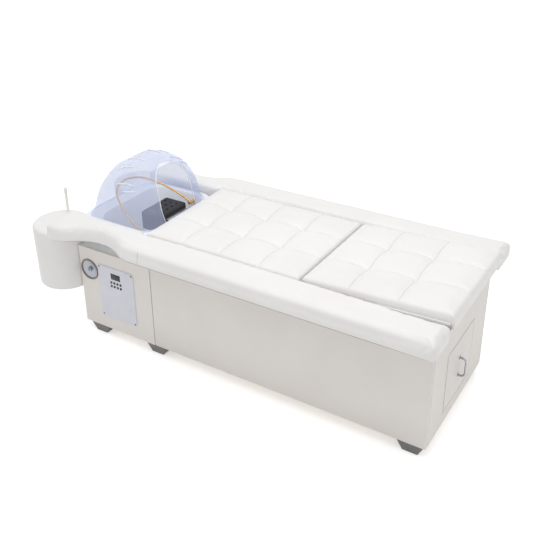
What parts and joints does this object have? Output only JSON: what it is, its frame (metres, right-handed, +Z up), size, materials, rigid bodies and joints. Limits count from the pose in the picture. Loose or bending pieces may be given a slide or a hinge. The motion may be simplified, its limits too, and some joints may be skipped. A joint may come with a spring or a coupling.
{
  "type": "head spa bed",
  "caption": "White padded head spa bed with tufted cushions, lifting leg rest, drawer, control plate, basin with brass spray ring and translucent hood.",
  "frame": {"origin": "on the floor, in the middle of the part's plan", "axes": "+X to the foot end, +Z up, -Y to the side with the control plate"},
  "size_m": [1.993, 0.896, 0.8149],
  "materials": {
    "vinyl_panel": "satin synthetic leather over board",
    "vinyl_pad": "soft satin synthetic leather over foam",
    "plywood": "sanded",
    "foot_plastic": "moulded",
    "black_rubber": "moulded foam rubber",
    "basin_plastic": "glossy",
    "hood_plastic": "frosted translucent",
    "brass": "polished",
    "steel": "brushed",
    "chrome": "mirror",
    "plate_enamel": "satin pale blue-white",
    "dark_steel": "blackened",
    "black_plastic": "glossy black",
    "circuit_board": "green board",
    "bezel_plastic": "dark grey",
    "dial_metal": "satin",
    "tank_plastic": "moulded"
  },
  "bodies": {
    "bed": {"near_side_panel": "vinyl_panel", "far_side_panel": "vinyl_panel", "foot_panel": "vinyl_panel", "base_board": "plywood", "bulkhead": "plywood", "deck_board": "plywood", "deck_battens": "plywood", "cabinet_near_panel": "vinyl_panel", "cabinet_far_panel": "vinyl_panel", "cabinet_head_panel": "vinyl_panel", "cabinet_top_board": "plywood", "basin_frame": "plywood", "feet": "foot_plastic", "near_armrest": "vinyl_pad", "near_pod": "vinyl_panel", "far_armrest": "vinyl_pad", "far_pod": "vinyl_panel", "armrest_bolts": "dark_steel", "back_cushion": "vinyl_pad", "leg_pivot_pins": "steel", "leg_stops": "black_rubber", "drawer_guides": "plywood", "drawer_runners": "steel", "basin": "basin_plastic", "drain_strainer": "steel", "drain_pipe": "tank_plastic", "neck_rest": "black_rubber", "neck_bracket": "steel", "spray_ring": "brass", "ring_bosses": "brass", "water_tank": "tank_plastic", "tank_cap": "tank_plastic", "circulation_pump": "tank_plastic", "supply_pipe": "tank_plastic", "water_heater": "steel", "control_plate": "plate_enamel", "display_window": "black_plastic", "control_board": "circuit_board", "plate_screws": "dark_steel", "dial_bezel": "bezel_plastic", "dial_plate": "dial_metal", "wand_socket": "basin_plastic"},
    "leg_rest": {"leg_board": "plywood", "leg_cushion": "vinyl_pad", "leg_pivot_plates": "steel"},
    "drawer": {"drawer_front": "vinyl_panel", "drawer_box": "plywood", "drawer_handle": "chrome"},
    "hood": {"hood": "hood_plastic"},
    "dial": {"dial_knob": "black_plastic"},
    "wand": {"shower_wand": "basin_plastic"},
    "button_1": {"button_1": "black_plastic"},
    "button_2": {"button_2": "black_plastic"},
    "button_3": {"button_3": "black_plastic"},
    "button_4": {"button_4": "black_plastic"},
    "button_5": {"button_5": "black_plastic"},
    "button_6": {"button_6": "black_plastic"},
    "button_7": {"button_7": "black_plastic"},
    "button_8": {"button_8": "black_plastic"}
  },
  "joints": [
    {"name": "leg_rest_lift", "type": "hinge", "parent": "bed", "child": "leg_rest", "pos_m": [0.40465, 0, 0.578], "axis": [0, -1, 0], "range_deg": [0, 40]},
    {"name": "drawer_slide", "type": "slide", "parent": "bed", "child": "drawer", "axis": [1, 0, 0], "range_m": [0, 0.3]},
    {"name": "hood_lift", "type": "slide", "parent": "bed", "child": "hood", "axis": [0, 0, 1], "range_m": [0, 0.35]},
    {"name": "dial_turn", "type": "hinge", "parent": "bed", "child": "dial", "pos_m": [-0.67535, -0.316, 0.339], "axis": [0, -1, 0], "range_deg": [-135, 135]},
    {"name": "wand_lift", "type": "slide", "parent": "bed", "child": "wand", "axis": [0, 0, 1], "range_m": [0, 0.2]},
    {"name": "button_1_press", "type": "slide", "parent": "bed", "child": "button_1", "axis": [0, 1, 0], "range_m": [0, 0.0015], "stiffness_N_per_m": 400, "springref_m": -0.001},
    {"name": "button_2_press", "type": "slide", "parent": "bed", "child": "button_2", "axis": [0, 1, 0], "range_m": [0, 0.0015], "stiffness_N_per_m": 400, "springref_m": -0.001},
    {"name": "button_3_press", "type": "slide", "parent": "bed", "child": "button_3", "axis": [0, 1, 0], "range_m": [0, 0.0015], "stiffness_N_per_m": 400, "springref_m": -0.001},
    {"name": "button_4_press", "type": "slide", "parent": "bed", "child": "button_4", "axis": [0, 1, 0], "range_m": [0, 0.0015], "stiffness_N_per_m": 400, "springref_m": -0.001},
    {"name": "button_5_press", "type": "slide", "parent": "bed", "child": "button_5", "axis": [0, 1, 0], "range_m": [0, 0.0015], "stiffness_N_per_m": 400, "springref_m": -0.001},
    {"name": "button_6_press", "type": "slide", "parent": "bed", "child": "button_6", "axis": [0, 1, 0], "range_m": [0, 0.0015], "stiffness_N_per_m": 400, "springref_m": -0.001},
    {"name": "button_7_press", "type": "slide", "parent": "bed", "child": "button_7", "axis": [0, 1, 0], "range_m": [0, 0.0015], "stiffness_N_per_m": 400, "springref_m": -0.001},
    {"name": "button_8_press", "type": "slide", "parent": "bed", "child": "button_8", "axis": [0, 1, 0], "range_m": [0, 0.0015], "stiffness_N_per_m": 400, "springref_m": -0.001}
  ]
}
